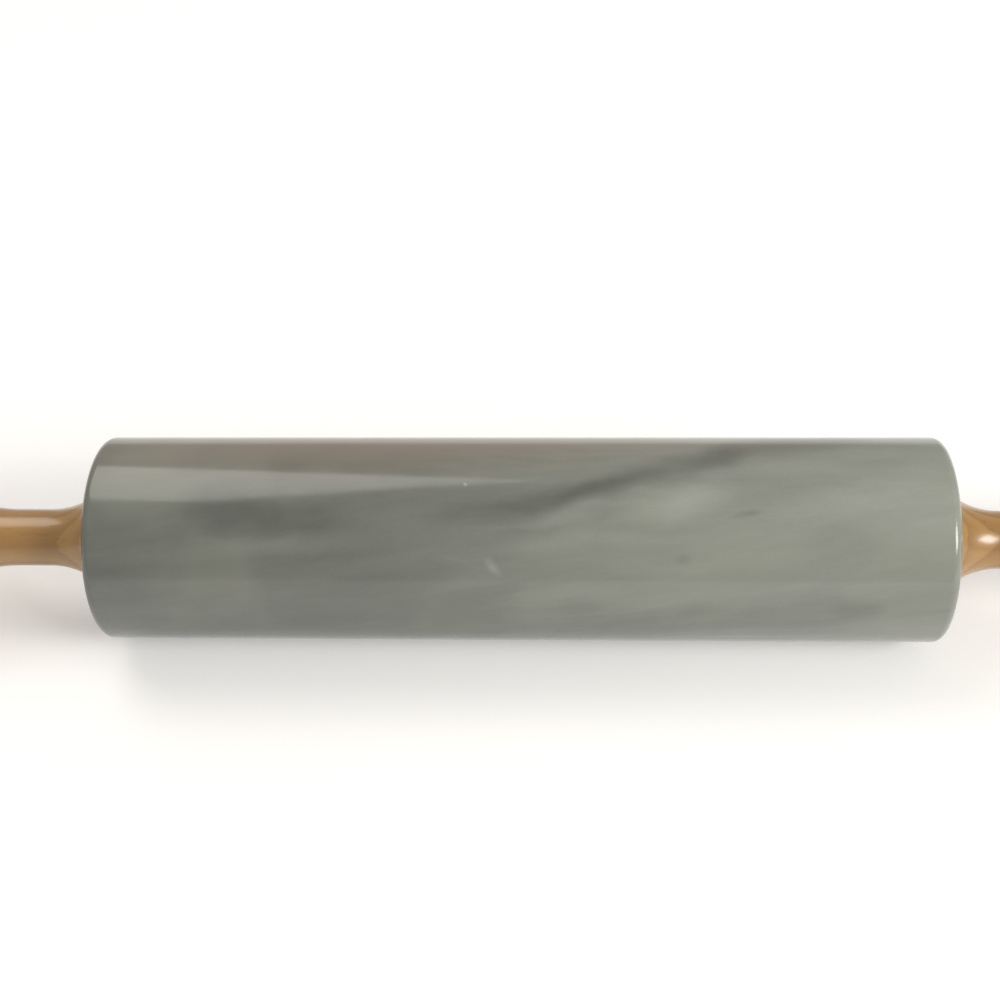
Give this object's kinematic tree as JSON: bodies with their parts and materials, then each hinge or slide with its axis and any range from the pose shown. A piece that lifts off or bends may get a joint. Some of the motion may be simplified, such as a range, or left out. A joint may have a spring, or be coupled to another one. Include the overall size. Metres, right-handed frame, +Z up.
{
  "type": "rolling pin",
  "caption": "Marble rolling pin: a polished stone barrel that spins on a steel axle between two turned wooden handles.",
  "frame": {"origin": "on the axle's axis at the middle of the barrel's length, which is also the centre of the overall box", "axes": "+X runs along the axle to the handle at the picture's right, +Z is up, and the picture looks roughly along +Y"},
  "size_m": [0.457, 0.062, 0.062],
  "materials": {
    "marble": "polished",
    "handle_wood": "gloss",
    "plug_wood": "gloss",
    "nylon": "satin",
    "axle_steel": "satin",
    "zinc_steel": "satin",
    "spring_steel": "satin"
  },
  "bodies": {
    "handle_set": {"axle_rod": "axle_steel", "left_shoulder_washer": "zinc_steel", "right_shoulder_washer": "zinc_steel", "left_handle": "handle_wood", "right_handle": "handle_wood", "left_flat_washer": "zinc_steel", "right_flat_washer": "zinc_steel", "left_lock_washer": "spring_steel", "right_lock_washer": "spring_steel", "left_end_nut": "zinc_steel", "right_end_nut": "zinc_steel", "left_end_plug": "plug_wood", "right_end_plug": "plug_wood"},
    "roller": {"barrel": "marble", "left_bushing": "nylon", "right_bushing": "nylon"}
  },
  "joints": [
    {"name": "barrel_spin", "type": "hinge", "parent": "handle_set", "child": "roller", "pos_m": [0, 0, 0], "axis": [1, 0, 0], "continuous": true}
  ]
}
